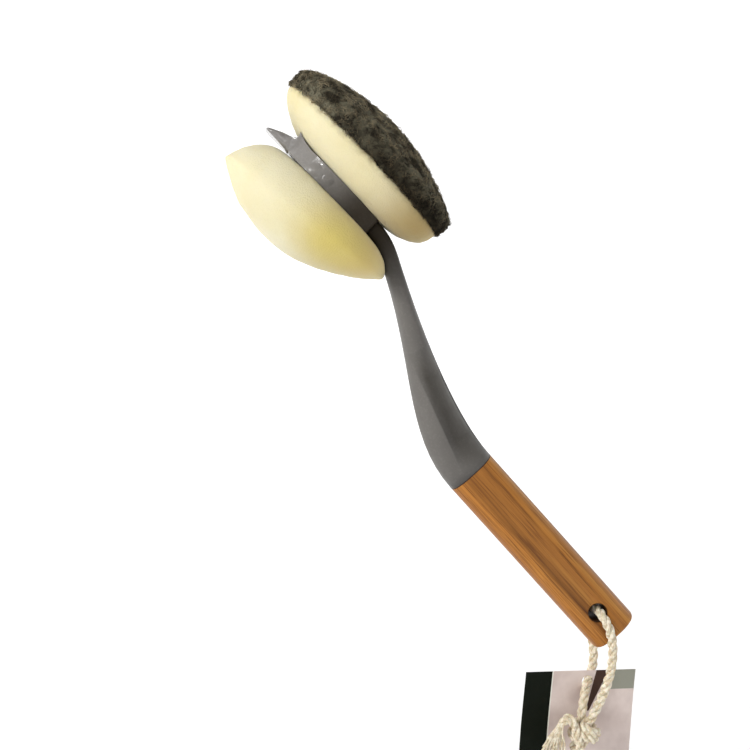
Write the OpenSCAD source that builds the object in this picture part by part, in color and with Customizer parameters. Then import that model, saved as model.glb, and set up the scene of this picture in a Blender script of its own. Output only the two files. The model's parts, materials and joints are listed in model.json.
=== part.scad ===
// Dish wand with a bamboo handle, a curved moulded neck and a pull-off head
// that carries one sponge on each side of a plate with a scraper lip.
// The wand is bent in the XZ plane and symmetric about it, +Z is up,
// and the origin is the middle of the handle, where a hand or a clip holds it.

/* [Handle] */
// Length of the bamboo handle from the neck to the butt
handle_l = 98; // [88:1:108]
// Depth of the handle in the plane of the bend
handle_deep = 22.4; // [20:0.2:26]
// Width of the handle across the bend
handle_wide = 20.4; // [18:0.2:24]
// Squareness of the handle's section, where 2 is an ellipse
handle_square = 2.8; // [2.2:0.1:4]
// Slope of the handle below the horizontal, in degrees
handle_lean = 48; // [42:1:54]
// Radius of the rounded rim of the butt
butt_round = 1.5; // [0.6:0.1:3]
// Diameter of the hanging hole across the handle
hole_d = 8; // [7.6:0.2:10]
// Distance from the butt to the centre of the hanging hole
hole_in = 14.5; // [10:0.5:16]
// Width of the bevel round each mouth of the hanging hole
hole_bevel = 0.8; // [0.2:0.1:1.5]

/* [Neck] */
// Height of the neck from the handle to the start of its bend
neck_rise = 93; // [86:0.5:98]
// Sideways reach of the neck from the handle to the start of its bend
neck_run = 36.2; // [31:0.2:40]
// Slope of the neck below the bend, in degrees
neck_lean = 71; // [68:1:75]
// Length over which the neck keeps the handle's direction
base_pull = 25; // [20:1:30]
// Length over which the neck keeps its direction below the bend
top_pull = 45; // [40:1:50]
// Radius of the bend below the head
bend_r = 31; // [28:1:36]
// Thickness of the thin upper neck, which the head's plate continues
ribbon_t = 7.5; // [7:0.1:9]
// Width of the neck where it meets the head
ribbon_wide = 17; // [16:0.5:20]
// Width of the neck at its narrowest
waist_wide = 14.6; // [12:0.2:16]
// Diameter of the spigot glued into the handle
spigot_d = 12; // [9:0.5:13]
// Length of the spigot glued into the handle
spigot_l = 26; // [18:1:30]
// Radial room for glue round the spigot
glue_gap = 0.05; // [0.02:0.01:0.1]

/* [Head plate] */
// Slope of the head's plate, in degrees
head_lean = 45; // [42:1:50]
// Length of the plate from the neck to its blunt end
plate_l = 49; // [46:0.5:53]
// Width of the plate
plate_wide = 34; // [31:1:38]
// Height by which the blunt end flares above the plate
flare = 2.5; // [1:0.1:3]
// Length of the scraper lip beyond the blunt end
lip_l = 11; // [8:0.5:12]
// Thickness of the scraper lip at its root
lip_root = 5.1; // [4.4:0.1:5.6]
// Thickness of the scraper lip's edge
lip_edge = 0.8; // [0.5:0.1:1.2]
// Width of the scraper lip's edge
lip_wide = 20; // [17:1:22]
// Length of the neck's tongue inside the plate
tongue_l = 30; // [24:1:34]
// Width of the tongue
tongue_wide = 12; // [10:0.5:13]
// Thickness of the tongue
tongue_t = 3.4; // [3:0.1:3.8]
// Room round the tongue in its socket
socket_gap = 0.15; // [0.1:0.05:0.25]
// Open seam between the neck and the head
seam_gap = 0.3; // [0.2:0.05:0.5]

/* [Sponges] */
// Length of each sponge
sponge_l = 87.5; // [84:0.5:94]
// Width of each sponge
sponge_wide = 60; // [54:1:66]
// Length of sponge that reaches back over the neck
sponge_back = 21.6; // [20:0.5:24]
// Height of the sponge's rim above the plate
rim_h = 13.2; // [12:0.5:16]
// Rise of the sponge's outer face above its rim
crown = 12; // [9:0.5:15]
// Crown of the lower sponge, which carries no pad
lower_crown = 17.3; // [14:0.5:19]
// Share of the outline that the lower sponge fills
lower_share = 0.94; // [0.9:0.01:1]
// Share of the sponge's outline that is glued to the plate
seat_share = 0.5; // [0.45:0.05:0.6]
// Angle by which the lower sponge opens towards the tip, in degrees
lower_splay = 6.5; // [4:0.5:9]
// Room between the sponges and the neck
foam_gap = 0.4; // [0.3:0.1:0.8]
// Thickness of the scouring pad
pad_t = 8; // [6:0.5:9]
// Glue line between the foam and the scouring pad
pad_glue = 0.15; // [0.1:0.05:0.3]

/* [Cord and tag] */
// Diameter of the cotton cord
cord_d = 4.3; // [3.4:0.1:4.4]
// Width across the knot
knot_wide = 15; // [13:0.5:16]
// Width of the hang tag
tag_wide = 53; // [46:0.5:56]
// Height of the hang tag
tag_tall = 85; // [75:1:95]
// Thickness of the hang tag's card
tag_t = 0.5; // [0.4:0.05:0.8]
// Diameter of the hole in the hang tag
tag_hole_d = 7; // [6.8:0.2:9]
// Distance from the tag's top edge to its hole
tag_hole_down = 6; // [5:0.5:9]
// Turn of the tag about the vertical, in degrees
tag_turn = 12; // [8:1:16]

/* [Hidden] */
eps = 0.01;

// Directions in the XZ plane are angles from +X towards +Z
up_handle = 180 - handle_lean;
up_neck = 180 - neck_lean;
up_head = 180 - head_lean;
function along(a) = [cos(a), sin(a)];

// Neck route: a cubic from the joint with the handle to the bend, then an arc
joint_at = handle_l / 2 * along(up_handle);
bend_at = joint_at + [-neck_run, neck_rise];
route = [
    joint_at,
    joint_at + base_pull * along(up_handle),
    bend_at - top_pull * along(up_neck),
    bend_at
];
bend_turn = up_head - up_neck;
bend_centre = bend_at + bend_r * along(up_neck + 90);
seam_at = bend_centre + bend_r * along(up_head - 90);

// Sections of the neck, by the share of the way from the handle to the bend
section_n = 28;
neck_steps = 16;
bend_steps = 6;
half_deep = handle_deep / 2;
half_wide = handle_wide / 2;
half_t = ribbon_t / 2;
width_keys = [[0, half_wide], [0.35, half_wide * 0.93], [0.78, waist_wide / 2], [1, waist_wide / 2]];
square_keys = [[0, handle_square], [0.22, 1.85], [0.5, 1.7], [0.8, 2.5], [1, 3.4]];
ribbon_square = 4;
thinning = 1.15;
thin_from = 0.95;

// Head: the sponges share one leaf outline, round at the tip and narrow at the neck
sponge_mid = (sponge_l - 2 * sponge_back) / 2;
tip_square = 2.05;
neck_square = 1.9;
leaf_n = 40;
plate_mid = plate_l * 0.527;
plate_half_l = plate_mid * 1.135;
flare_from = plate_l * 0.83;
lip_drop = 0.9;
lip_round = 3;
lip_spread = 2;
plan_n = 48;
socket_l = tongue_l + 1;

// Hanging hole and what hangs from it
tag_hole_x = 29.8;
tag_hole_at = [23, 4.8, -61.6];
cord_sides = 10;
cord_route = [
    [22.4, -6, -74.6], [24.4, -7, -68.6], [26.8, -9, -60.6], [28.6, -11.2, -51.6], [29, -12.8, -42.6],
    [28, -13.6, -35.6], [26.4, -13.5, -31], [24.8, -12.4, -28], [23.8, -10.4, -26.4],
    [23.4, -8, -25.9], [23.2, 0, -25.8], [23.2, 8, -25.9], [23.4, 10.4, -26.4], [23.8, 12.4, -28.2],
    [24.8, 13.4, -31.6], [26.4, 13.4, -37.6], [27.6, 12.4, -45.6], [27.4, 11.2, -52.6], [26.2, 9.4, -57.6],
    [24.2, 6.4, -60.6], [22, 3, -63], [20, 0, -66.2], [18.8, -2, -70.6], [18.6, -3, -74.6]
];
tail_route = [[15.4, -7.4, -78.6], [12.8, -8, -75], [10, -8.2, -73], [7.4, -8, -74.2], [5.8, -7.8, -77.6]];
knot_at = [20.2, -4.4, -80.6];
fray_l = 17;
fray_wide = 11;

function signed_pow(v, e) = sign(v) * pow(abs(v), e);
function smooth(v) = let (u = min(1, max(0, v))) u * u * (3 - 2 * u);
function bezier(p, t) =
    pow(1 - t, 3) * p[0] + 3 * t * pow(1 - t, 2) * p[1] + 3 * t * t * (1 - t) * p[2] + pow(t, 3) * p[3];
function heading(p, t) =
    let (d = pow(1 - t, 2) * (p[1] - p[0]) + 2 * t * (1 - t) * (p[2] - p[1]) + t * t * (p[3] - p[2]))
    atan2(d[1], d[0]);

// One rounded-square section of half sizes u and v, square to a heading in the XZ plane
function section(centre, a, u, v, square) = [
    for (i = [0:section_n - 1])
        let (
            t = 360 * i / section_n,
            across = u * signed_pow(cos(t), 2 / square),
            c = centre + across * along(a - 90)
        )
        [c[0], v * signed_pow(sin(t), 2 / square), c[1]]
];

// Closed skin over rings of points, with a fan at each end
module skin(rings) {
    m = len(rings[0]);
    k = len(rings);
    first = k * m;
    ends = [for (r = [rings[0], rings[k - 1]]) [for (j = [0:2]) [for (p = r) p[j]] * [for (p = r) 1] / m]];
    polyhedron(
        concat([for (r = rings, p = r) p], ends),
        concat(
            [for (i = [0:m - 1]) [first, i, (i + 1) % m]],
            [for (i = [0:m - 1]) [first + 1, (k - 1) * m + (i + 1) % m, (k - 1) * m + i]],
            [for (j = [0:k - 2], i = [0:m - 1]) [j * m + i, (j + 1) * m + i, j * m + (i + 1) % m]],
            [for (j = [0:k - 2], i = [0:m - 1])
                [j * m + (i + 1) % m, (j + 1) * m + i, (j + 1) * m + (i + 1) % m]]
        )
    );
}

// The neck thins from the handle's section to a ribbon, with a soft ridge along its side
module neck_form(grow = 0) {
    rise = [
        for (i = [0:neck_steps])
            let (
                t = i / neck_steps,
                thin = smooth(pow(t / thin_from, thinning)),
                u = half_deep + (half_t - half_deep) * thin
            )
            section(
                bezier(route, t), heading(route, t),
                u + grow, lookup(t, width_keys) + grow, lookup(t, square_keys)
            )
    ];
    bend = [
        for (i = [1:bend_steps])
            let (
                t = i / bend_steps,
                a = up_neck + bend_turn * t,
                v = waist_wide / 2 + (ribbon_wide - waist_wide) / 2 * smooth(t),
                square = lookup(1, square_keys) * (1 - t) + ribbon_square * t
            )
            section(bend_centre + bend_r * along(a - 90), a, half_t + grow, v + grow, square)
    ];
    skin(concat(rise, bend));
}

// Places a piece in the head's own frame: x along the plate from the seam, z out of it
module on_head() {
    translate([seam_at[0], 0, seam_at[1]])
        rotate([0, -up_head, 0])
            mirror([0, 0, 1])
                children();
}

// Places a piece in the handle's own frame: x towards the butt, z out of the bend
module on_handle() {
    rotate([0, handle_lean, 0])
        children();
}

module handle_section(inset = 0) {
    polygon([
        for (i = [0:59])
            let (t = 6 * i)
            [
                (half_deep - inset) * signed_pow(cos(t), 2 / handle_square),
                (half_wide - inset) * signed_pow(sin(t), 2 / handle_square)
            ]
    ]);
}

// A slice of the handle, from one place along it to another
module handle_slice(from, to, inset = 0) {
    translate([from, 0, 0])
        rotate([0, 90, 0])
            linear_extrude(to - from)
                handle_section(inset);
}

module hanging_hole() {
    reach = half_wide + hole_bevel;
    translate([handle_l / 2 - hole_in, 0, 0])
        rotate([90, 0, 0]) {
            cylinder(d = hole_d, h = 2 * reach, center = true, $fn = 48);
            for (side = [0, 1])
                mirror([0, 0, side])
                    translate([0, 0, half_wide - hole_bevel])
                        cylinder(d1 = hole_d, d2 = hole_d + 4 * hole_bevel, h = 2 * hole_bevel, $fn = 48);
        }
}

module bamboo_handle() {
    end = handle_l / 2;
    color([0.74, 0.56, 0.31])
        on_handle()
            difference() {
                union() {
                    handle_slice(-end, end - butt_round);
                    hull() {
                        handle_slice(end - butt_round - eps, end - butt_round);
                        handle_slice(end - butt_round * 0.4, end - butt_round * 0.4 + eps, butt_round * 0.25);
                        handle_slice(end - eps, end, butt_round);
                    }
                }
                hanging_hole();
                translate([-end - eps, 0, 0])
                    rotate([0, 90, 0])
                        cylinder(d = spigot_d + 2 * glue_gap, h = spigot_l + 1, $fn = 48);
            }
}

module neck() {
    color([0.40, 0.39, 0.38]) {
        neck_form();
        on_handle()
            translate([-handle_l / 2 - half_deep / 2, 0, 0])
                rotate([0, 90, 0])
                    cylinder(d = spigot_d, h = spigot_l + half_deep / 2, $fn = 48);
        on_head()
            translate([-half_t, -tongue_wide / 2, -tongue_t / 2])
                cube([tongue_l + half_t, tongue_wide, tongue_t]);
    }
}

// Side outline of the plate: flat faces, a flared blunt end and the scraper lip below it
module plate_profile() {
    tip = plate_l + lip_l;
    lip_low = lip_drop - half_t;
    lip_top = lip_low + lip_root;
    polygon([
        [seam_gap, -half_t],
        [flare_from, -half_t],
        [plate_l, lip_low],
        [tip, lip_low],
        [tip, lip_low + lip_edge],
        [plate_l + lip_l * 0.45, lip_top - lip_root * 0.27],
        [plate_l + 0.9, lip_top],
        [plate_l - 0.5, lip_top + 1],
        [plate_l - 0.8, lip_top + 2.2],
        [plate_l, half_t + flare],
        [plate_l - (plate_l - flare_from) * 0.5, half_t + flare * 0.3],
        [flare_from, half_t],
        [seam_gap, half_t]
    ]);
}

// Plan of the plate: an oval cut off at the neck, run on into the lip with its round corners
module plate_plan() {
    tip = plate_l + lip_l;
    corner = [tip - lip_round, lip_wide / 2 - lip_round];
    join = asin((lip_wide / 2 + lip_spread) / (plate_wide / 2));
    round_corner = [for (a = [0:15:90]) corner + lip_round * [cos(a), sin(a)]];
    polygon(concat(
        round_corner,
        [for (i = [0:plan_n])
            let (a = join + (360 - 2 * join) * i / plan_n)
            [plate_mid + plate_half_l * cos(a), plate_wide / 2 * sin(a)]],
        [for (i = [len(round_corner) - 1:-1:0]) [round_corner[i][0], -round_corner[i][1]]]
    ));
}

module plate_form() {
    intersection() {
        rotate([90, 0, 0])
            linear_extrude(2 * plate_wide, center = true)
                plate_profile();
        linear_extrude(2 * plate_wide, center = true)
            plate_plan();
    }
}

module head_plate() {
    socket_wide = tongue_wide + 2 * socket_gap;
    socket_t = tongue_t + 2 * socket_gap;
    color([0.47, 0.45, 0.44])
        on_head()
            difference() {
                plate_form();
                translate([-eps, -socket_wide / 2, -socket_t / 2])
                    cube([socket_l, socket_wide, socket_t]);
            }
}

// A point of the leaf outline shared by both sponges, scaled by a share r of its size
function leaf(a, r) =
    let (
        tipward = cos(a) >= 0,
        square = tipward ? tip_square : neck_square,
        half_l = sponge_l / 2
    )
    [
        sponge_mid + r * half_l * signed_pow(cos(a), 2 / square),
        r * sponge_wide / 2 * signed_pow(sin(a), 2 / square)
    ];

// Height of the sponge's outer face and of its drawn-in side, at a share r of the outline
function rim_at(x, slope) = half_t + rim_h + slope * (x - sponge_mid);
function dome_at(a, r, tall) = tall * pow(max(0, 1 - r * r), 0.88 - 0.14 * cos(a));
function side_at(t, power) = 1 - pow(max(0, 1 - pow(t, power)), 1 / power);

dome_shares = [1, 0.96, 0.88, 0.76, 0.6, 0.42, 0.22, 0.06];
side_steps = [0, 0.25, 0.5, 0.72, 0.88, 0.965];
side_power = 1.5;
lower_seat = 0.6;
lower_power = 1.8;
pad_over = 1.02;
leaf_angles = [for (i = [0:leaf_n - 1]) 360 * i / leaf_n];

function dome_ring(r, share, slope, tall, lift) = [
    for (a = leaf_angles)
        let (p = leaf(a, r * share))
        [p[0], p[1], rim_at(p[0], slope) + dome_at(a, r, tall) + lift]
];
function side_ring(t, seat, share, slope, power) = [
    for (a = leaf_angles)
        let (p = leaf(a, (seat + (1 - seat) * t) * share), full = rim_at(p[0], slope) - half_t)
        [p[0], p[1], half_t + full * side_at(t, power + 0.35 * (1 - cos(a)))]
];

module sponge_form(seat, share, slope, power, tall) {
    skin(concat(
        [for (t = side_steps) side_ring(t, seat, share, slope, power)],
        [for (r = dome_shares) dome_ring(r, share, slope, tall, 0)]
    ));
}

module upper_foam() {
    color([0.90, 0.84, 0.64])
        difference() {
            on_head()
                sponge_form(seat_share, 1, 0, side_power, crown);
            neck_form(foam_gap);
            on_head()
                plate_form();
        }
}

module lower_foam() {
    color([0.90, 0.84, 0.58])
        difference() {
            on_head()
                mirror([0, 0, 1])
                    sponge_form(lower_seat, lower_share, tan(lower_splay), lower_power, lower_crown);
            neck_form(foam_gap);
            on_head()
                plate_form();
        }
}

module scouring_pad() {
    inward = [for (i = [len(dome_shares) - 1:-1:0]) dome_shares[i]];
    color([0.27, 0.26, 0.23])
        on_head()
            skin(concat(
                [for (r = inward) dome_ring(r, pad_over, 0, crown, pad_glue)],
                [for (r = dome_shares) dome_ring(r, pad_over, 0, crown, pad_t)]
            ));
}

// A round tube along a list of points, its sides measured from a fixed direction
module tube(points, d, side) {
    n = len(points);
    skin([
        for (i = [0:n - 1])
            let (
                go = points[min(n - 1, i + 1)] - points[max(0, i - 1)],
                u = cross(go, side) / norm(cross(go, side)),
                v = cross(u, go) / norm(go)
            )
            [for (j = [0:cord_sides - 1])
                let (a = 360 * j / cord_sides)
                points[i] + d / 2 * (cos(a) * u + sin(a) * v)]
    ]);
}

module hang_cord() {
    color([0.87, 0.82, 0.71])
        tube(cord_route, cord_d, [1, 0, 0]);
}

// The knot is two turns of cord drawn tight against each other
module cord_knot() {
    turn_r = (knot_wide - cord_d) / 2;
    color([0.84, 0.78, 0.66])
        translate(knot_at) {
            rotate([18, 24, 0])
                rotate_extrude($fn = 32)
                    union() {
                        for (level = [-0.42, 0.42])
                            translate([turn_r, level * cord_d * 2])
                                circle(d = cord_d, $fn = 24);
                        translate([0, -cord_d])
                            square([turn_r, 2 * cord_d]);
                    }
        }
}

module cord_tail() {
    color([0.87, 0.82, 0.71])
        tube(tail_route, cord_d, [0, 1, 0]);
}

// The cord's end, unlaid into a flat fan of yarns
module frayed_end() {
    last = tail_route[len(tail_route) - 1];
    color([0.86, 0.81, 0.69])
        skin([
            for (i = [0:6])
                let (
                    t = i / 6,
                    w = (cord_d + (fray_wide - cord_d) * smooth(t * 1.4)) / 2,
                    th = cord_d / 2 * (1 - 0.25 * t),
                    c = last + [-0.5 - 3.4 * t, 0.2, -fray_l * t - 0.05]
                )
                [for (j = [0:11])
                    let (a = -30 * j)
                    c + [w * cos(a), th * sin(a), 0]]
        ]);
}

module hang_tag() {
    color([0.83, 0.80, 0.78])
        translate(tag_hole_at)
            rotate([0, 0, tag_turn])
                difference() {
                    translate([-tag_hole_x, -tag_t / 2, tag_hole_down - tag_tall])
                        cube([tag_wide, tag_t, tag_tall]);
                    rotate([90, 0, 0])
                        cylinder(d = tag_hole_d, h = 4 * tag_t, center = true, $fn = 32);
                }
}

bamboo_handle();
neck();
head_plate();
upper_foam();
scouring_pad();
lower_foam();
hang_cord();
cord_knot();
cord_tail();
frayed_end();
hang_tag();
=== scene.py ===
# %% [markdown]
# # A dish wand, dressed for its portrait
# The wand has a bamboo handle, a matte plastic neck, a glossy head plate between two foam
# sponges, a scouring pad, and a twisted cotton cord with a card tag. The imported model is
# the frame: it says where every piece is, and this script gives each piece its looks.

# %% Load the frame
import json
import math
import random

import bmesh
import bpy
from mathutils import Matrix, Vector
from mathutils.bvhtree import BVHTree


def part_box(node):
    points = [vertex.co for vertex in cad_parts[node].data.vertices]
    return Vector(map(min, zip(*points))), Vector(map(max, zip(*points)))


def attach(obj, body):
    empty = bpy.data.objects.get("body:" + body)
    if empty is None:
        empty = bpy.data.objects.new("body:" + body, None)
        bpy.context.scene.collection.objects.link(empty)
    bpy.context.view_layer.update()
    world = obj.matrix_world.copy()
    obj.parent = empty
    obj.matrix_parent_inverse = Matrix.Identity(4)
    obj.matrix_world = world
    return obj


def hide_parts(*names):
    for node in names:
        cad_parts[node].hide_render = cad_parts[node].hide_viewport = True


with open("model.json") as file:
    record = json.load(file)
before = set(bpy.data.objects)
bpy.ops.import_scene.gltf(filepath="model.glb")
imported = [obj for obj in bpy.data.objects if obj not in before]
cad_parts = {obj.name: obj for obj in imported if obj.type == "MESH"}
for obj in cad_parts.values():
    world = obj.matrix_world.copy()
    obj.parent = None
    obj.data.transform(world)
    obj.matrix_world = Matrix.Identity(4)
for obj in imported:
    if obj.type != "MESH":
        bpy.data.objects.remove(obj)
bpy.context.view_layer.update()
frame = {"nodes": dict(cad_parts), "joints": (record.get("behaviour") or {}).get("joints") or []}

MM = 0.001
HEAD_WAY = Vector(frame["joints"][0]["axis"])
HEAD_UP = Vector((-HEAD_WAY.x, 0, HEAD_WAY.z))

# %% [markdown]
# ## The camera
# The wand is nearly level with the lens, which looks down on it by about six degrees.
# A 62 mm lens at 56 cm gives the head and the handle the widths they have in the
# photograph; a longer lens farther off would make the head too small beside the handle.

# %% Camera
towards = Vector((-0.0931, -0.9903, 0.1034)).normalized()
side_way = Vector((0.9956, -0.0931, 0.0048)).normalized()
up_way = towards.cross(side_way).normalized()
side_way = up_way.cross(towards)
aim = Vector((-74.4, 0, 78.4)) * MM
DISTANCE = 0.559
lens_data = bpy.data.cameras.new("Camera")
lens_data.sensor_width = 36
lens_data.lens = 62.4
lens_data.clip_start = 0.01
camera = bpy.data.objects.new("Camera", lens_data)
bpy.context.scene.collection.objects.link(camera)
turn = Matrix((side_way, up_way, towards)).transposed().to_4x4()
camera.matrix_world = Matrix.Translation(aim + towards * DISTANCE) @ turn
bpy.context.scene.camera = camera
print("camera at", [round(v, 3) for v in camera.location])

# %% [markdown]
# ## The cord
# A cord hangs in a soft line. It could be a Bezier curve, but the yarns that come later
# need even steps along it. So a smooth curve is laid through a few given points, and then
# walked along in steps of half a millimetre.

# %% A smooth route
STEP_MM, PARTS = 0.5, 20    # the route's even step, and the fine parts between two points


def smooth_route(points):
    """Points at even steps on a smooth curve through the given ones."""
    pts = [Vector(p) for p in points]
    pts = [2 * pts[0] - pts[1]] + pts + [2 * pts[-1] - pts[-2]]
    fine = []
    for a, b, c, d in zip(pts, pts[1:], pts[2:], pts[3:]):
        for i in range(PARTS):
            t = i / PARTS
            fine.append(0.5 * (2 * b + (c - a) * t + (2 * a - 5 * b + 4 * c - d) * t * t
                               + (3 * b - a - 3 * c + d) * t ** 3))
    fine.append(pts[-2])
    even, left = [fine[0]], STEP_MM
    for a, b in zip(fine, fine[1:]):
        gap = (b - a).length
        while gap >= left > 0:
            a = a.lerp(b, left / gap)
            even.append(a.copy())
            gap -= left
            left = STEP_MM
        left -= gap
    return even


print("routes have a point every", STEP_MM, "mm")

# %% [markdown]
# The cord goes through the hole in the handle and hangs down on both sides of it to the
# knot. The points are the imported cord's own, set where the photograph shows the cord, so
# it lies where its solid is. The back run passes through the hole in the tag.

# %% Routes of the cord, in millimetres
front_route = smooth_route([
    (23.2, 0.4, -25.8), (23.6, -4, -25.5), (24.2, -8, -25.7), (25.4, -11.6, -27.6),
    (27.2, -13.4, -31.4), (28.6, -13.6, -36.6), (29.4, -12.8, -43), (29.2, -11.4, -51),
    (27.6, -9.4, -60), (24.8, -7.4, -68.6), (22.2, -6.2, -75), (20.4, -5, -79)])
back_route = smooth_route([
    (23.2, -0.4, -25.8), (23.2, 4, -25.7), (23.3, 8, -25.9), (23.6, 11.6, -28),
    (24.6, 13.2, -32.4), (26.2, 13.2, -39), (27.2, 12, -47), (27.2, 10.8, -54),
    (25.8, 8.8, -58.6), (23.6, 5.6, -61.4), (21.8, 2.6, -64), (20.2, -0.6, -68),
    (19, -2.4, -73), (18.4, -3.6, -78)])
print("points on the front and the back route", len(front_route), len(back_route))

# %% [markdown]
# A cotton hang cord is three strands laid up together, and every strand is a bundle of
# yarns with a twist of its own, the other way round, which is what keeps the cord closed.
# A round tube with a striped bump would do from afar, but its edge would be smooth. Here
# every yarn is a thin tube on a spiral of a spiral, so the lay shows in the outline too.

# %% Yarns along a route
def frames_on(route):
    """A direction across the route at every point, carried along without twisting."""
    across, result = None, []
    for i, p in enumerate(route):
        go = (route[min(i + 1, len(route) - 1)] - route[max(i - 1, 0)]).normalized()
        if across is None:
            across = go.orthogonal().normalized()
        across = (across - go * across.dot(go)).normalized()
        result.append((p, across.copy(), go.cross(across)))
    return result


def tubes(name, lines, thick, body, rounds, finish):
    """Thin tubes along lines of points in millimetres, made as one mesh.

    A point may have a fourth value, its share of the thickness.
    """
    data = bpy.data.curves.new(name, "CURVE")
    data.dimensions = "3D"
    data.bevel_depth = thick / 2 * MM
    data.bevel_resolution = rounds
    data.use_fill_caps = rounds > 0
    for line in lines:
        spline = data.splines.new("POLY")
        spline.points.add(len(line) - 1)
        for point, place in zip(spline.points, line):
            point.co = (*(Vector(place[:3]) * MM), 1)
            point.radius = place[3] if len(place) > 3 else 1
    shape = bpy.data.objects.new(name + "_curve", data)
    bpy.context.scene.collection.objects.link(shape)
    bpy.context.view_layer.update()
    seen = shape.evaluated_get(bpy.context.evaluated_depsgraph_get())
    mesh = bpy.data.meshes.new_from_object(seen)
    bpy.data.objects.remove(shape)
    mesh.name = name
    piece = bpy.data.objects.new(name, mesh)
    bpy.context.scene.collection.objects.link(piece)
    mesh.shade_smooth()
    mesh.materials.clear()
    mesh.materials.append(finish)
    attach(piece, body)
    return piece


CORD_D = 4.3            # the cord's thickness
STRANDS, YARNS = 3, 7   # strands in the cord, and yarns in a strand
LAY, YARN_LAY = 13.0, 7.0   # the length of one full turn of a strand, and of a yarn
STRAND_R, YARN_R = CORD_D * 0.25, CORD_D * 0.155    # how far out each of them runs
YARN_THICK, HEART_THICK = CORD_D * 0.2, CORD_D * 0.36


def laid_yarns(route, start):
    """The lines of all the yarns, and of the strands' hearts, in a laid cord."""
    yarns, hearts = [], []
    for s in range(STRANDS):
        heart, lines = [], [[] for _ in range(YARNS)]
        for i, (p, u, v) in enumerate(frames_on(route)):
            a = start + 2 * math.pi * (i * STEP_MM / LAY + s / STRANDS)
            out = math.cos(a) * u + math.sin(a) * v
            beside = -math.sin(a) * u + math.cos(a) * v
            centre = p + out * STRAND_R
            heart.append(centre)
            for k in range(YARNS):
                b = -2 * math.pi * (i * STEP_MM / YARN_LAY) + 2 * math.pi * k / YARNS + s
                lines[k].append(centre + YARN_R * (math.cos(b) * out + math.sin(b) * beside))
        hearts.append(heart)
        yarns += lines
    return yarns, hearts


print("a cord of", STRANDS * YARNS, "yarns")

# %% [markdown]
# ## Finishes
# Every finish is made of nodes and reads Object coordinates in millimetres, so it keeps
# its place and its real scale on the piece. Small helpers make the nodes that the finishes
# have in common, so that each finish below reads as a short list of what it shows.

# %% Helpers for finishes
def add(tree, kind, **values):
    """A node in the tree, with attributes by name and socket values by S_ and number or name."""
    node = tree.nodes.new(kind)
    for key, value in values.items():
        if key.startswith("S_"):
            label = key[2:].replace("_", " ")
            node.inputs[int(label) if label.isdigit() else label].default_value = value
        else:
            setattr(node, key, value)
    return node


def ramp(tree, stops, source):
    """A colour ramp from (place, colour) pairs, fed by source."""
    node = tree.nodes.new("ShaderNodeValToRGB")
    points = node.color_ramp.elements
    for i, (place, colour) in enumerate(stops):
        point = points[i] if i < 2 else points.new(place)
        point.position = place
        point.color = (*colour, 1)
    tree.links.new(source, node.inputs[0])
    return node


def rgb(r, g, b):
    """A colour given as on a screen, 0 to 255, as the linear light that shaders use."""
    return tuple(v / 255 / 12.92 if v < 11 else ((v / 255 + 0.055) / 1.055) ** 2.4
                 for v in (r, g, b))


def material(name, **values):
    """A material with its shader, and Object coordinates in millimetres."""
    mat = bpy.data.materials.new(name)
    mat.use_nodes = True
    tree = mat.node_tree
    shader = tree.nodes["Principled BSDF"]
    for key, value in values.items():
        shader.inputs[key.replace("_", " ")].default_value = value
    coords = add(tree, "ShaderNodeTexCoord")
    scale = add(tree, "ShaderNodeVectorMath", operation="SCALE", S_Scale=1 / MM)
    tree.links.new(coords.outputs["Object"], scale.inputs[0])
    return mat, tree, shader, scale.outputs[0]


def bump(tree, target, height, strength, depth_mm):
    """A bump of that depth, in millimetres, on the Normal of a shader or another bump."""
    node = add(tree, "ShaderNodeBump", S_Strength=strength, S_Distance=depth_mm * MM)
    tree.links.new(height, node.inputs["Height"])
    tree.links.new(node.outputs[0], target.inputs["Normal"])
    return node


def mix(tree, how, a, b, amount):
    """Two colours mixed; each of a, b and amount is a socket or a value."""
    node = add(tree, "ShaderNodeMix", data_type="RGBA", blend_type=how)
    for index, value in ((0, amount), (6, a), (7, b)):
        if isinstance(value, bpy.types.NodeSocket):
            tree.links.new(value, node.inputs[index])
        elif index == 0:
            node.inputs[index].default_value = value
        else:
            node.inputs[index].default_value = (*value, 1)
    return node.outputs[2]


print("a mid grey of the screen is", round(rgb(128, 128, 128)[0], 3), "in linear light")

# %% [markdown]
# Painted shade and light, stains and drops aren't everywhere: each has its place on the
# wand. These helpers make masks from a place in millimetres, so a mark stays where it is
# on the real object, and they do the little arithmetic that joins one mask to another.

# %% Helpers for finishes: masks
def eased(tree, value, start, end):
    """Zero at start and one at end, with a smooth rise between them."""
    share = add(tree, "ShaderNodeMapRange", interpolation_type="SMOOTHSTEP",
                S_From_Min=start, S_From_Max=end)
    tree.links.new(value, share.inputs["Value"])
    return share.outputs[0]


def spot(tree, place, centre, outer, inner=0.0):
    """One inside inner millimetres of centre, and nothing outside outer."""
    apart = add(tree, "ShaderNodeVectorMath", operation="DISTANCE", S_1=centre)
    tree.links.new(place, apart.inputs[0])
    return eased(tree, apart.outputs["Value"], outer, inner)


def on_way(tree, place, direction):
    """How many millimetres a place lies along a direction."""
    dot = add(tree, "ShaderNodeVectorMath", operation="DOT_PRODUCT", S_1=direction)
    tree.links.new(place, dot.inputs[0])
    return dot.outputs["Value"]


def along(tree, place, direction, start, end):
    """How far a place is on the way from start to end, both in millimetres on direction."""
    return eased(tree, on_way(tree, place, direction), start, end)


def sums(tree, how, a, b, clamp=False):
    """One Math node; a and b are sockets or numbers."""
    node = add(tree, "ShaderNodeMath", operation=how, use_clamp=clamp)
    for socket, value in zip(node.inputs, (a, b)):
        if isinstance(value, bpy.types.NodeSocket):
            tree.links.new(value, socket)
        else:
            socket.default_value = value
    return node.outputs[0]


print("masks are ready:", ", ".join(helper.__name__ for helper in (eased, spot, along)))

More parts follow.
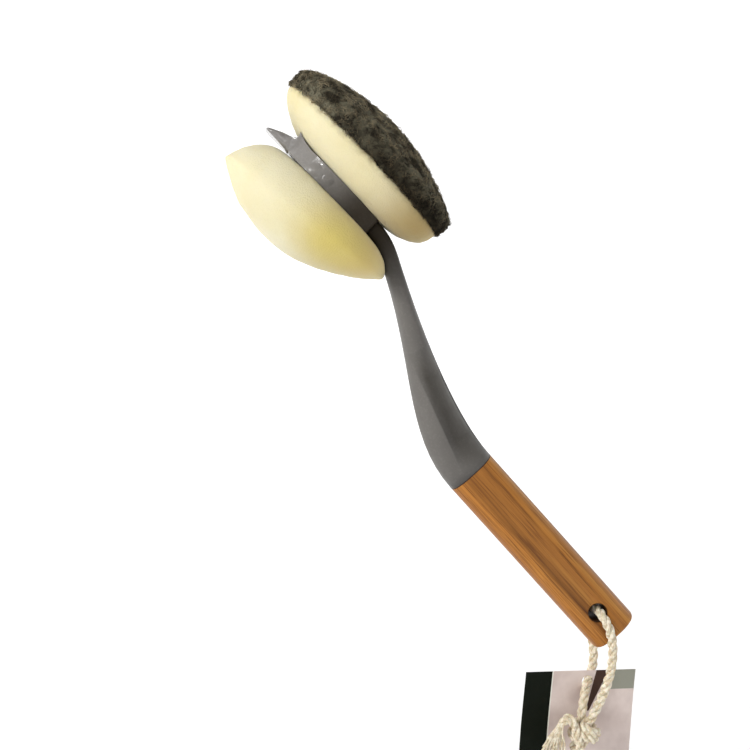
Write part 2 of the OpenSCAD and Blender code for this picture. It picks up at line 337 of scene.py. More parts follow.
# %% [markdown]
# No surface of the wand is one flat tone: dust, wear and the way it was made leave soft
# clouds on it. They are the same effect on plastic, foam, cotton and card, only at another
# scale, so they are one shared node group that puts out a tone from 0 to 1.

# %% Shared effect: mottling
def group(name, inputs, outputs):
    """A node group with named sockets, and its two end nodes."""
    tree = bpy.data.node_groups.new(name, "ShaderNodeTree")
    for label, kind, value in inputs:
        socket = tree.interface.new_socket(label, in_out="INPUT", socket_type=kind)
        if value is not None:
            socket.default_value = value
    for label, kind in outputs:
        tree.interface.new_socket(label, in_out="OUTPUT", socket_type=kind)
    return tree, tree.nodes.new("NodeGroupInput"), tree.nodes.new("NodeGroupOutput")


mottle, m_in, m_out = group(
    "Mottle", [("Place", "NodeSocketVector", None), ("Scale", "NodeSocketFloat", 0.1),
               ("Detail", "NodeSocketFloat", 4.0)],
    [("Tone", "NodeSocketFloat")])
m_noise = add(mottle, "ShaderNodeTexNoise")
m_range = add(mottle, "ShaderNodeMapRange", S_From_Min=0.3, S_From_Max=0.7)
for label, socket in (("Place", "Vector"), ("Scale", "Scale"), ("Detail", "Detail")):
    mottle.links.new(m_in.outputs[label], m_noise.inputs[socket])
mottle.links.new(m_noise.outputs["Fac"], m_range.inputs["Value"])
mottle.links.new(m_range.outputs[0], m_out.inputs["Tone"])


def mottled(tree, place, scale, detail=4.0):
    """The shared mottling at a place, with scale in clouds per millimetre."""
    node = tree.nodes.new("ShaderNodeGroup")
    node.node_tree = mottle
    node.inputs["Scale"].default_value = scale
    node.inputs["Detail"].default_value = detail
    tree.links.new(place, node.inputs["Place"])
    return node.outputs["Tone"]


print("shared effect", mottle.name)

# %% [markdown]
# Bamboo has straight fibres, seen as fine dark streaks and dashes along it. A wood picture
# would repeat and would stretch on the rounded edges. Noise drawn out along the handle has
# neither fault. The handle leans by 48 degrees, so the pattern is turned to lie along it
# before it is drawn out, and three layers of it are multiplied: broad, fine, and dashes.

# %% Finish: bamboo fibres
HANDLE_LEAN = 48
bamboo, tree, shader, place = material("Bamboo", Roughness=0.5, Coat_Weight=0.04,
                                       Coat_Roughness=0.35, Specular_IOR_Level=0.3)
lay_out = add(tree, "ShaderNodeMapping", S_Rotation=(0, math.radians(-HANDLE_LEAN), 0))
tree.links.new(place, lay_out.inputs["Vector"])


def streaks(scale, detail, rough=0.6):
    """Noise drawn out along the handle."""
    long_way = add(tree, "ShaderNodeMapping", S_Scale=scale)
    tree.links.new(lay_out.outputs[0], long_way.inputs["Vector"])
    node = add(tree, "ShaderNodeTexNoise", S_Scale=1.0, S_Detail=detail, S_Roughness=rough)
    tree.links.new(long_way.outputs[0], node.inputs["Vector"])
    return node.outputs["Fac"]


broad = ramp(tree, [(0.3, rgb(138, 86, 28)), (0.52, rgb(162, 105, 40)),
                    (0.72, rgb(184, 128, 56))], streaks((0.006, 0.2, 0.2), 2.0))
fine = ramp(tree, [(0.34, (0.45, 0.36, 0.24)), (0.48, (0.96, 0.95, 0.92)),
                   (0.64, (1.22, 1.22, 1.2))], streaks((0.02, 1.15, 1.15), 4.0, 0.7))
dashes = ramp(tree, [(0.33, (0.4, 0.3, 0.2)), (0.42, (1, 1, 1))],
              streaks((0.045, 1.7, 1.7), 2.0))
tone = mix(tree, "MULTIPLY", broad.outputs[0], fine.outputs[0], 0.75)
tone = mix(tree, "MULTIPLY", tone, dashes.outputs[0], 0.7)
bump(tree, shader, streaks((0.04, 2.4, 2.4), 4.0), 0.35, 0.12)
print("fibres of", len(tree.nodes), "nodes")

# %% [markdown]
# The handle is cut from strips glued side by side, each with a tone of its own. A ramp
# across the handle gives the tones and the thin dark lines of glue. The wall of the cross
# hole is darkened as painted shade, with a thin darker ring round its rim, and the thin line
# where the handle meets the neck is dark too.

# %% Finish: bamboo strips, neck line and hole
HANDLE_HALF = 11.2          # half the handle's width, across the strips
NECK_LINE = -48.62          # the handle's last 0.4 mm beside the neck starts here
HOLE = (23.2, 0, -25.8)     # the cross hole, 8 mm wide
axes = add(tree, "ShaderNodeSeparateXYZ")
tree.links.new(lay_out.outputs[0], axes.inputs[0])
across = add(tree, "ShaderNodeMapRange", S_From_Min=-HANDLE_HALF, S_From_Max=HANDLE_HALF)
tree.links.new(axes.outputs["Z"], across.inputs["Value"])
strips = ramp(tree, [
    (0.0, (1.12, 1.1, 1.04)), (0.245, (1.12, 1.1, 1.04)),       # one outer strip
    (0.25, (0.5, 0.4, 0.3)), (0.262, (0.86, 0.85, 0.84)),       # glue, then the middle strip
    (0.74, (0.9, 0.88, 0.86)), (0.748, (0.55, 0.46, 0.36)),     # and glue again
    (0.76, (1.06, 1.04, 1.0)), (1.0, (1.06, 1.04, 1.0))], across.outputs[0])
tone = mix(tree, "MULTIPLY", tone, strips.outputs[0], 0.8)
tone = mix(tree, "MIX", tone, rgb(44, 24, 12),
           sums(tree, "LESS_THAN", axes.outputs["X"], NECK_LINE))
# Painted shade: the cross hole's wall, and a thin ring round its rim, are darkened.
level = add(tree, "ShaderNodeVectorMath", operation="MULTIPLY", S_1=(1, 0, 1))
tree.links.new(place, level.inputs[0])
tone = mix(tree, "MULTIPLY", tone, (0.12, 0.1, 0.08),
           spot(tree, level.outputs[0], HOLE, 4.5, 4.1))
tree.links.new(tone, shader.inputs["Base Color"])
print("bamboo finish of", len(tree.nodes), "nodes")

# %% [markdown]
# Neck and head plate are injection-moulded in the same grey, with a fine tooth from the
# mould's steel, some pale specks, and wear that makes the gloss uneven. One function makes
# both. Little light comes into the corner between neck, plate and foam, so both plastics
# go dark there and lose their shine.

# %% Finish: moulded plastic
CORNER, CORNER_REACH, CORNER_DEEP = (-80, -10, 142), 40, 6


def plastic(name, colour, darker, rough, coat, gleam, grain_mm, depth):
    """A moulded plastic: soft tone, specks, worn gloss and a fine tooth."""
    mat, tree, shader, place = material(name, Roughness=rough, Coat_Roughness=0.12)
    soft = mix(tree, "MIX", colour, darker, mottled(tree, place, 0.05, 3.0))
    deep = spot(tree, place, CORNER, CORNER_REACH, CORNER_DEEP)
    soft = mix(tree, "MULTIPLY", soft, (0.22, 0.19, 0.15), deep)
    open_air = sums(tree, "SUBTRACT", 1, sums(tree, "MULTIPLY", deep, 0.92))
    for label, value in (("Specular IOR Level", gleam), ("Coat Weight", coat)):
        tree.links.new(sums(tree, "MULTIPLY", open_air, value), shader.inputs[label])
    specks = ramp(tree, [(0.62, (1, 1, 1)), (0.72, (1.16, 1.16, 1.16))],
                  mottled(tree, place, 0.9, 6.0))
    tree.links.new(mix(tree, "MULTIPLY", soft, specks.outputs[0], 0.5),
                   shader.inputs["Base Color"])
    worn = add(tree, "ShaderNodeMapRange", S_To_Min=rough - 0.07, S_To_Max=rough + 0.09)
    tree.links.new(mottled(tree, place, 0.12, 5.0), worn.inputs["Value"])
    tree.links.new(worn.outputs[0], shader.inputs["Roughness"])
    grain = add(tree, "ShaderNodeTexNoise", S_Scale=1 / grain_mm, S_Detail=2.0)
    tree.links.new(place, grain.inputs["Vector"])
    tooth = bump(tree, shader, grain.outputs["Fac"], 0.25, depth)
    return mat, tree, place, shader, tooth


print("dark corner at", CORNER, "mm")

# %% [markdown]
# The neck is matte, a little dusty and rubbed, and it has a ridge. The flanks of the ridge
# are in the solid. A shallow bump makes their edges keener on the near side, as the light
# of the photograph shows them, and the right flank is darkened with painted shade.

# %% Finish: the neck
def held(tree, a, b, slope):
    """The difference of a and b times slope, kept from 0 to 1."""
    return sums(tree, "MULTIPLY", sums(tree, "SUBTRACT", a, b), slope, True)


def crease(tree, place, start, end, wide, slope):
    """A flank on the right of a line, on the near side: its height, and where it is.

    It bends down from the line over its width, fades in a little before the line's start,
    and is gone half the line's length past its end.
    """
    start, end = Vector(start), Vector(end)
    way, long = (end - start).normalized(), (end - start).length
    right = Vector((-way.z, 0, way.x))
    right = right if right.x > 0 else -right
    beside, down, nearer = (on_way(tree, place, direction)
                            for direction in (right, way, Vector((0, -1, 0))))
    share = held(tree, beside, start.dot(right), 1 / wide)
    square = sums(tree, "MULTIPLY", share, share)
    fall = sums(tree, "SUBTRACT", share, sums(tree, "MULTIPLY", square, 0.5))
    enters = held(tree, down, start.dot(way) - 0.3 * long, 2.5 / long)
    leaves = held(tree, end.dot(way) + 0.5 * long, down, 2 / long)
    near = held(tree, nearer, 1, 0.5)
    mask = sums(tree, "MULTIPLY", sums(tree, "MULTIPLY", enters, leaves), near)
    height = sums(tree, "MULTIPLY", sums(tree, "MULTIPLY", fall, -slope * wide), mask)
    return height, sums(tree, "MULTIPLY", sums(tree, "MULTIPLY", share, 6, True), mask)


neck_finish, tree, place, shader, tooth = plastic(
    "Neck_Matte_Plastic", rgb(103, 100, 96), rgb(92, 89, 86), 0.5, 0.05, 0.28, 0.28, 0.05)
right_flank, right_shade = crease(tree, place, (-57, 0, 79), (-43.4, 0, 50), 20, 0.85)
left_flank = crease(tree, place, (-60, 0, 74), (-48, 0, 46), 4, -0.2)[0]
colour_in = shader.inputs["Base Color"]
# Painted shade: the right flank's colour is darkened where its crease lies.
tree.links.new(mix(tree, "MULTIPLY", colour_in.links[0].from_socket, (0.76, 0.74, 0.69),
                   right_shade), colour_in)
bump(tree, tooth, sums(tree, "ADD", right_flank, left_flank), 1.0, 1.0)
print("neck finish of", len(tree.nodes), "nodes")

# %% [markdown]
# The plate has a polished mould, so it is glossy, and its wide side is not quite even. It
# was wet when the photograph was taken: three drops stand on it, and each is a smooth low
# bump that the gloss over the plastic follows too.

# %% Finish: the head plate
DROPS = (((-101.2, -17, 164.2), 3.8, 0.72), ((-100, -17, 159.6), 2.6, 0.5),
         ((-95.4, -17, 160.6), 2.8, 0.54))      # the middle, the reach and the height of each
plate_finish, tree, place, shader, tooth = plastic(
    "Head_Glossy_Plastic", rgb(134, 131, 128), rgb(116, 113, 111), 0.2, 0.6, 0.5, 0.6, 0.03)
dents = sums(tree, "MULTIPLY", mottled(tree, place, 0.2, 2.0), 0.12)
for centre, reach, rise in DROPS:
    drop = sums(tree, "MULTIPLY", spot(tree, place, centre, reach), rise)
    dents = sums(tree, "ADD", dents, drop)
ripple = bump(tree, tooth, dents, 1.0, 1.0)     # heights are in millimetres already
tree.links.new(ripple.outputs[0], shader.inputs["Coat Normal"])
print("plate finish with", len(DROPS), "drops")

# %% [markdown]
# Foam is a mass of open cells. From half a metre the cells are only a fine tooth in the
# surface, with a few bigger holes. Near the neck the upper foam is painted brown, as
# painted shade, and the lower foam is painted yellower and a little darker.

# %% Finish: sponge foam
def foam(name, pale, warm, tint_spots):
    """Open foam with tinted spots, each (middle, reach, colour), and near_pad grime on the mesh.
    """
    mat, tree, shader, place = material(
        name, Roughness=0.92, Sheen_Weight=0.15, Subsurface_Weight=0.25,
        Subsurface_Radius=(0.004, 0.003, 0.0015), Subsurface_Scale=1.0)
    colour = mix(tree, "MIX", pale, warm, mottled(tree, place, 0.03, 2.0))
    for centre, reach, tint in tint_spots:
        colour = mix(tree, "MIX", colour, tint, spot(tree, place, centre, reach))
    grime = add(tree, "ShaderNodeAttribute", attribute_name="near_pad")
    smear = sums(tree, "MULTIPLY", grime.outputs["Fac"], mottled(tree, place, 0.35, 4.0))
    colour = mix(tree, "MIX", colour, rgb(128, 112, 82), smear)
    cells = add(tree, "ShaderNodeTexVoronoi", S_Scale=1.5)
    tree.links.new(place, cells.inputs["Vector"])
    pits = ramp(tree, [(0.08, (0.72, 0.66, 0.5)), (0.3, (1, 1, 1))], cells.outputs["Distance"])
    colour = mix(tree, "MULTIPLY", colour, pits.outputs[0], 0.28)
    tree.links.new(colour, shader.inputs["Base Color"])
    tooth = add(tree, "ShaderNodeTexNoise", S_Scale=2.2, S_Detail=4.0)
    tree.links.new(place, tooth.inputs["Vector"])
    skin = sums(tree, "ADD", cells.outputs["Distance"], tooth.outputs["Fac"])
    bump(tree, shader, skin, 0.5, 0.22)
    return mat


# Painted shade: the upper foam's brown spot near the neck. The lower foam's two spots make it
# yellower and darker towards the neck.
upper_foam_finish = foam("Foam_Upper", rgb(220, 211, 176), rgb(211, 199, 152),
                         [((-58, -16, 140), 36, rgb(168, 145, 92))])
lower_foam_finish = foam("Foam_Lower", rgb(221, 214, 182), rgb(214, 203, 158),
                         [((-84, -20, 126), 36, rgb(200, 178, 112)),
                          ((-95, -26, 134), 26, rgb(204, 186, 104))])
print("foams", upper_foam_finish.name, "and", lower_foam_finish.name)

# %% [markdown]
# Scouring fibre and cotton yarn are both matte threads in clumps of a lighter and a darker
# tone, so one finish serves for both. The pad's tone carries painted light and shade: pale
# towards its far end and its top, and dark near the neck, and its fibres carry it too.

# %% Finishes: scouring fibre, cotton
PAD_SHADE_AND_LIGHT = ((0.4, 0.35, 0.29), (2.1, 2.05, 1.95))   # painted tones of the pad's shaded and lit parts
LIT_END, LIT_TOP = (158, 226), (64, 77)             # on the head's long way, and upwards


def fibre(name, dark, light, spread, light_and_shade=None, **more):
    """Matte threads in clumps of two tones; an optional pair of tones paints light and shade."""
    mat, tree, shader, place = material(name, Roughness=0.8, Specular_IOR_Level=0.1, **more)
    clumps = ramp(tree, [(0.25, dark), (0.75, light)], mottled(tree, place, spread, 5.0))
    colour = clumps.outputs[0]
    if light_and_shade:
        # Painted light and shade: paler towards the head's far end and its top, darker near the
        # neck.
        share = sums(tree, "MAXIMUM", along(tree, place, HEAD_WAY, *LIT_END),
                     along(tree, place, HEAD_UP, *LIT_TOP))
        colour = mix(tree, "MULTIPLY", colour, mix(tree, "MIX", *light_and_shade, share), 1)
    tree.links.new(colour, shader.inputs["Base Color"])
    tuft = add(tree, "ShaderNodeTexNoise", S_Scale=1.6, S_Detail=6.0, S_Roughness=0.7)
    tree.links.new(place, tuft.inputs["Vector"])
    bump(tree, shader, tuft.outputs["Fac"], 0.8, 0.5)
    return mat


pad_finish = fibre("Scouring_Base", rgb(30, 27, 21), rgb(84, 82, 70), 0.22, PAD_SHADE_AND_LIGHT)
hair_finish = fibre("Scouring_Fibre", rgb(34, 31, 25), rgb(88, 86, 74), 0.2, PAD_SHADE_AND_LIGHT)
fuzz_finish = fibre("Scouring_Fuzz", rgb(52, 47, 37), rgb(118, 109, 90), 0.2, PAD_SHADE_AND_LIGHT)
cotton = fibre("Cotton_Yarn", rgb(214, 196, 166), rgb(246, 235, 216), 0.6,
               Subsurface_Weight=0.1, Subsurface_Scale=0.002)
print("finishes", len(bpy.data.materials))

# %% [markdown]
# The two runs of the cord are twisted now that there is a finish to give them. Each has
# its own start of the twist, so that the runs don't look like copies of each other. The
# middle line of each, in metres, and its length are kept as well.

# %% Twist the cord's two runs
def rope(name, routes, starts, heart_thick=HEART_THICK):
    """Cord along each route, as one piece of yarns and one of hearts that fills it."""
    yarns, hearts = [], []
    for route, start in zip(routes, starts):
        more_yarns, more_hearts = laid_yarns(route, start)
        yarns += more_yarns
        hearts += more_hearts
    outside = tubes(name, yarns, YARN_THICK, "wand", 1, cotton)
    inside = tubes(name + "_heart", hearts, heart_thick, "wand", 1, cotton)
    inside.parent = outside
    return outside, inside


def cord_run(name, route, start):
    """One run of the cord: its two pieces, its middle line in metres and the length of it."""
    piece, heart = rope(name, [route], [start])
    path = [p * MM for p in route[::3]] + [route[-1] * MM]
    length = sum((b - a).length for a, b in zip(path, path[1:]))
    return piece, heart, path, length


front, front_heart, front_path, front_len = cord_run("cord_front", front_route, 0.4)
back, back_heart, back_path, back_len = cord_run("cord_back", back_route, 1.7)
print("cord lengths", round(front_len, 4), round(back_len, 4))

# %% [markdown]
# ## Knot, tail and frayed end
# The two ends are tied in an overhand knot: the cord winds round its own two runs. The
# winding is a spiral whose width swells and shrinks a little, as in a knot tied quickly.

# %% Knot
knot_axis = Vector((0.42, -0.12, 0.9)).normalized()
knot_mid = Vector((19.8, -4.6, -81.2))
knot_u = knot_axis.cross(Vector((0, 1, 0))).normalized()
knot_v = knot_axis.cross(knot_u)


def knot_point(turns, level, r):
    """A point on a spiral round the knot's axis."""
    a = 2 * math.pi * turns
    return knot_mid + knot_axis * level + r * (math.cos(a) * knot_u + math.sin(a) * knot_v)


def below(level, shift):
    """A point under the knot's middle, shifted to one side."""
    return knot_mid - knot_axis * level + Vector(shift)


WINDING_STEPS, WINDING_R = 22, 5.0      # a tenth of a turn each, and its mean radius
winding = [knot_point(0.1 + i / 10, 3.4 - 7.2 * i / WINDING_STEPS,
                      WINDING_R + 0.35 * math.sin(i)) for i in range(WINDING_STEPS)]
front_end = [front_route[-1], below(0, (0.4, -1.2, -1)), below(7, (1.6, -1, -1))]
back_end = [back_route[-1], below(0, (-0.6, 1, -1)), below(8, (-1.6, 1.2, -2))]
knot_routes = [smooth_route(points) for points in (winding, front_end, back_end)]
knot, knot_heart = rope("knot", knot_routes, [0.0, 0.9, 1.8])
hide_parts("cord_knot")
print("knot of", round(len(knot_routes[0]) * STEP_MM), "mm of cord")

# %% [markdown]
# One short end of the cord comes out of the knot, stands up beside it and bends over. It is
# laid as the rest of the cord is.

# %% Tail
TAIL_HEART = CORD_D * 0.34      # the hearts are thinner here, where the end is opening
tail_route = smooth_route([(17, -8.2, -88), (15.9, -8.8, -83.5), (14.6, -9, -78.6),
                           (12.8, -8.9, -74.6), (10.6, -8.6, -73.6), (8.8, -8.3, -76)])
tail, tail_heart = rope("tail", [tail_route], [0.2], TAIL_HEART)
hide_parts("cord_tail")
print("tail of", round(len(tail_route) * STEP_MM), "mm of cord")

# %% [markdown]
# That end has come unlaid into its yarns. A particle system could make them, but it is
# hard to say where each hair goes. Here each loose yarn is a line of its own: it starts in
# the cord's end, spreads out on its way down, waves a little and gets thinner. Lengths and
# curls are drawn by one seeded generator, so they are the same on each run.

# %% Frayed end
FRAY_YARNS, FRAY_THICK, FRAY_STEPS = 54, 0.78, 11
seed = random.Random(7)
fray_lines = []
for _ in range(FRAY_YARNS):
    across, deep = seed.uniform(-1, 1), seed.uniform(-1, 1)
    long, curl = seed.uniform(11, 17), seed.uniform(0, 6.28)
    line = []
    for j in range(FRAY_STEPS + 1):
        t = j / FRAY_STEPS
        spread = 0.35 + 0.65 * min(1, t * 1.5)
        sideways = across * (1.5 + 3.6 * t) * spread + 0.35 * math.sin(curl + 9 * t)
        line.append((8.2 - 3.4 * t + sideways,
                     -8 + deep * 1.5 + 0.3 * math.cos(curl + 7 * t),
                     -75.6 - long * t + 0.8 * math.sin(2.2 * t) * abs(across),
                     1 - 0.35 * t))
    fray_lines.append(line)
fray = tubes("frayed_yarns", fray_lines, FRAY_THICK, "wand", 1, cotton)
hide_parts("frayed_end")
print("frayed yarns", len(fray_lines))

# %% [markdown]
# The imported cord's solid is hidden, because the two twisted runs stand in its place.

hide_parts("hang_cord")
print("two runs, from the hole to the knot")

# %% [markdown]
# ## The hard pieces
# The handle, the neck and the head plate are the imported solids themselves. A copy of each
# has its loose triangles joined, so that it can be shaded smoothly. It keeps its sharp
# edges where two faces meet steeply: at 35 degrees on the plate, which has thin crisp
# edges, at 40 on the handle, and at 55 on the neck, which is all soft bends.

# %% Hard pieces from their solids
def solid_copy(node, name, body, finish, angle):
    """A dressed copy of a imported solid, sharp where faces meet at that angle or more."""
    form = bmesh.new()
    form.from_mesh(frame["nodes"][node].data)
    bmesh.ops.remove_doubles(form, verts=form.verts, dist=1e-6)
    mesh = bpy.data.meshes.new(name)
    form.to_mesh(mesh)
    form.free()
    piece = bpy.data.objects.new(name, mesh)
    bpy.context.scene.collection.objects.link(piece)
    mesh.shade_smooth()
    mesh.set_sharp_from_angle(angle=math.radians(angle))
    mesh.materials.append(finish)
    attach(piece, body)
    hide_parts(node)
    print(name, len(mesh.polygons), "faces")
    return piece


solid_copy("bamboo_handle", "handle", "wand", bamboo, 40)
solid_copy("neck", "neck_piece", "wand", neck_finish, 55)
solid_copy("head_plate", "plate", "head", plate_finish, 35)

# %% [markdown]
# ## The sponge
# Foam and scouring pad are cut from sheets: their corners are soft, and their skin is
# uneven. Sculpting would do it once, but these steps can be run again if the solid
# changes: a voxel remesh gives an even skin, smoothing rounds the corners and leaves the
# two pointed ends as keen as told, and displacement by soft clouds makes the unevenness.

# %% Helpers for soft pieces
low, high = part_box("upper_foam")
HEAD_MID = (low + high) / 2
SPONGE_HALF = 43.75         # half the sponge's length


def apply_steps(piece, work):
    """Runs modifiers given as (kind, values), and puts their result in the mesh."""
    for number, (kind, values) in enumerate(work):
        step = piece.modifiers.new(f"{kind}_{number}", kind)
        for key, value in values.items():
            setattr(step, key, value)
    bpy.context.view_layer.update()
    seen = piece.evaluated_get(bpy.context.evaluated_depsgraph_get())
    done = bpy.data.meshes.new_from_object(seen)
    piece.modifiers.clear()
    old, piece.data = piece.data, done
    bpy.data.meshes.remove(old)


def swell(name, size_mm, rise_mm):
    """The values of a displacement by soft clouds of one size."""
    texture = bpy.data.textures.new(name, "CLOUDS")
    texture.noise_scale = size_mm * MM
    texture.noise_depth = 2
    return dict(texture=texture, strength=rise_mm * MM, mid_level=0.5)


def soft_copy(node, name, voxel, rounds, keen, swells, finish):
    """A soft copy of a solid; keen is how much of its form the two pointed ends keep."""
    piece = solid_copy(node, name, "head", finish, 180)
    apply_steps(piece, [("REMESH", dict(mode="VOXEL", voxel_size=voxel * MM))])
    middle = piece.vertex_groups.new(name="middle")
    for v in piece.data.vertices:
        out = (v.co - HEAD_MID).dot(HEAD_WAY) / (SPONGE_HALF * MM)
        middle.add([v.index], 1 - keen * min(1, out * out) ** 2, "REPLACE")
    work = [("SMOOTH", dict(factor=0.5, iterations=rounds, vertex_group="middle"))]
    for number, (size, rise) in enumerate(swells):
        work.append(("DISPLACE", swell(f"{name}_{number}", size, rise)))
    apply_steps(piece, work)
    done = piece.data
    done.shade_smooth()
    if not done.materials:
        done.materials.append(finish)
    print(name, len(done.polygons), "faces")
    return piece


print("sponge middle at", [round(value, 4) for value in HEAD_MID])

# %% [markdown]
# The upper foam keeps its firm edges under the pad, so it is smoothed a little. The lower
# one is worn round, so it is smoothed a lot, but its two ends stay pointed. The pad is
# coarse felt: its unevenness is small in width and high.

# %% Foams and pad
upper = soft_copy("upper_foam", "foam_upper", 0.8, 14, 0.8, [(9, 0.6), (1.6, 0.14)],
                  upper_foam_finish)
lower = soft_copy("lower_foam", "foam_lower", 0.7, 50, 1.0, [(11, 0.7), (1.6, 0.14)],
                  lower_foam_finish)
pad = soft_copy("scouring_pad", "pad", 0.7, 16, 0.3, [(3.0, 0.8), (1.2, 0.8)],
                pad_finish)

# %% [markdown]
# The photograph shows the lower foam's far end keener than smoothing leaves it, so the
# points around it are drawn out to a tip.

# %% The lower foam's tip
TIP, TIP_REACH, TIP_PULL = Vector((-138.9, 0, 170.5)) * MM, 10 * MM, 0.85
for v in lower.data.vertices:
    near_tip = max(0.0, 1 - (v.co - TIP).length / TIP_REACH)
    v.co += (TIP - v.co) * TIP_PULL * near_tip ** 1.5
print("tip drawn to", [round(value, 4) for value in TIP])

# %% [markdown]
# Loose fibres and dirty water from the pad stain the foam beside it. How near each point
# of a foam is to the pad is kept on the mesh, and the foam's finish reads it.

# %% Grime beside the pad
GRIME_REACH = 3.2 * MM
pad_skin = BVHTree.FromPolygons([v.co for v in pad.data.vertices],
                                [p.vertices for p in pad.data.polygons])


def closeness(place):
    """One on the pad's skin, falling to zero at the reach of the grime."""
    apart = pad_skin.find_nearest(place, GRIME_REACH)[3]
    return 0.0 if apart is None else max(0.0, 1 - apart / GRIME_REACH)


for piece in (upper, lower):
    near_pad = piece.data.attributes.new("near_pad", "FLOAT", "POINT")
    values = [closeness(v.co) for v in piece.data.vertices]
    near_pad.data.foreach_set("value", values)
    print(piece.name, "points beside the pad", sum(v > 0 for v in values))

# %% [markdown]
# The pad is a felt of crimped fibres. Short curled fibres lie all over it, and those at
# its rim stand out a little, which gives the fuzzy brown edge.

# %% Fibres on the pad
HAIRS, HAIR_LENGTH, HAIR_BEND, HAIR_STEPS, ROOT = 7000, 3.6, 1.6, 3, 0.15


def scatter(piece, count, pick):
    """Places on a piece's faces drawn by pick, in millimetres, with their normals."""
    faces = piece.data.polygons
    drawn = [faces[pick.randrange(len(faces))] for _ in range(count)]
    return [(face.center / MM, face.normal.copy()) for face in drawn]


def curled(spots, pick, length, lift, bend):
    """A short curled line at each spot, lying on the surface and rising in its middle."""
    lines = []
    for spot_mm, out in spots:
        way = Vector((pick.gauss(0, 1), pick.gauss(0, 1), pick.gauss(0, 1)))
        way = (way - out * way.dot(out)).normalized()
        side = out.cross(way)
        far = pick.uniform(0.5, 1) * length
        rise = pick.uniform(0, 1) * lift
        swing = pick.uniform(-1, 1) * bend
        line = []
        for i in range(HAIR_STEPS + 1):
            t = i / HAIR_STEPS
            arch = 4 * t * (1 - t)
            line.append(spot_mm + way * far * (t - 0.5) + side * swing * arch
                        + out * (rise * arch - ROOT))
        lines.append(line)
    return lines


for name, seed_number, lift, thick, finish in (("pad_fibres", 3, 0.5, 0.24, hair_finish),
                                               ("pad_fuzz", 5, 1.3, 0.15, fuzz_finish)):
    pick = random.Random(seed_number)
    spots = scatter(pad, HAIRS, pick)
    hairs = tubes(name, curled(spots, pick, HAIR_LENGTH, lift, HAIR_BEND), thick, "head", 0,
                  finish)
    print(name, len(hairs.data.polygons), "faces")

# %% [markdown]
# ## The tag
# The tag is a punched card. A plain box could not bend, and a cut by another solid would
# leave long thin faces round the hole. So it starts as a grid, the faces inside the hole
# are deleted, and the points on the rim are pulled onto a circle. Its UV map, which the
# printing reads, is made while it is still flat.

# %% Tag: the sheet and its hole
TAG_W, TAG_H = 54.4, 85.0                   # width and height
HOLE_X, HOLE_DOWN, HOLE_R = 30.4, 4.9, 2.7  # the hole from the left edge and from the top
GRID_X, GRID_Y = 44, 70

card_form = bmesh.new()
bmesh.ops.create_grid(card_form, x_segments=GRID_X, y_segments=GRID_Y, size=0.5)
bmesh.ops.scale(card_form, verts=card_form.verts, vec=(TAG_W, TAG_H, 1))
bmesh.ops.translate(card_form, verts=card_form.verts,
                    vec=(TAG_W / 2 - HOLE_X, HOLE_DOWN - TAG_H / 2, 0))
inside = [f for f in card_form.faces if f.calc_center_median().length < HOLE_R]
bmesh.ops.delete(card_form, geom=inside, context="FACES")
rim = {v for e in card_form.edges if e.is_boundary for v in e.verts
       if v.co.length < HOLE_R + 1.6}
for v in rim:
    v.co = v.co.normalized() * HOLE_R
uv = card_form.loops.layers.uv.new("UVMap")
for face in card_form.faces:
    for loop in face.loops:
        x, y, _ = loop.vert.co
        loop[uv].uv = ((x + HOLE_X) / TAG_W, (y - HOLE_DOWN + TAG_H) / TAG_H)
print("sheet of", len(card_form.faces), "faces,", len(rim), "points round the hole")

# %% [markdown]
# Damp card doesn't stay flat: it bows a little, less near the hole, where the cord holds
# it. Then it gets its thickness and is turned upright, swung askew and turned from the
# lens about its hole, as it hangs.

# %% Tag: bend, thicken and hang
TAG_T = 0.5                             # its thickness
TAG_TURN, TAG_SWING = 12, 4             # turned from the lens, and hanging askew
TAG_HOLE = Vector((23, 4.8, -61.6))     # where the middle of the card's hole hangs
for v in card_form.verts:
    bow = 0.5 * math.sin((v.co.x + 8) / 15) * min(1, max(0, -v.co.y) / 20)
    v.co.z += bow + 0.25 * math.sin(v.co.y / 9)
bmesh.ops.solidify(card_form, geom=card_form.faces[:], thickness=TAG_T)
upright = Matrix.Rotation(math.radians(90), 4, "X")
swing = Matrix.Rotation(math.radians(-TAG_SWING), 4, "Z")
yaw = Matrix.Rotation(math.radians(TAG_TURN), 4, "Z")
hung = Matrix.Scale(MM, 4) @ Matrix.Translation(TAG_HOLE) @ yaw @ (upright @ swing)
bmesh.ops.transform(card_form, verts=card_form.verts, matrix=hung)
bmesh.ops.recalc_face_normals(card_form, faces=card_form.faces)
card_mesh = bpy.data.meshes.new("card")
card_form.to_mesh(card_mesh)
card_form.free()
card = bpy.data.objects.new("card", card_mesh)
bpy.context.scene.collection.objects.link(card)
card_mesh.shade_smooth()
card_mesh.set_sharp_from_angle(angle=math.radians(40))
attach(card, "wand")
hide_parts("hang_tag")
print("card", len(card_mesh.polygons), "faces")

# %% [markdown]
# The card is printed in plain fields: a dark green border with a thin pale line beside it,
# a grey box in the top corner, and a soft pink field for the rest. A dark wedge of painted
# shadow lies between the two runs of the cord. The fields are edges on the card's own
# sheet, from 0 to 1 across and up, so they stay on the card when it swings.

# %% Finish: printed card
DARK_EDGE, LINE_EDGE = 0.235, 0.245     # across the card
BOX_LEFT, BOX_FOOT = 0.7, 0.895
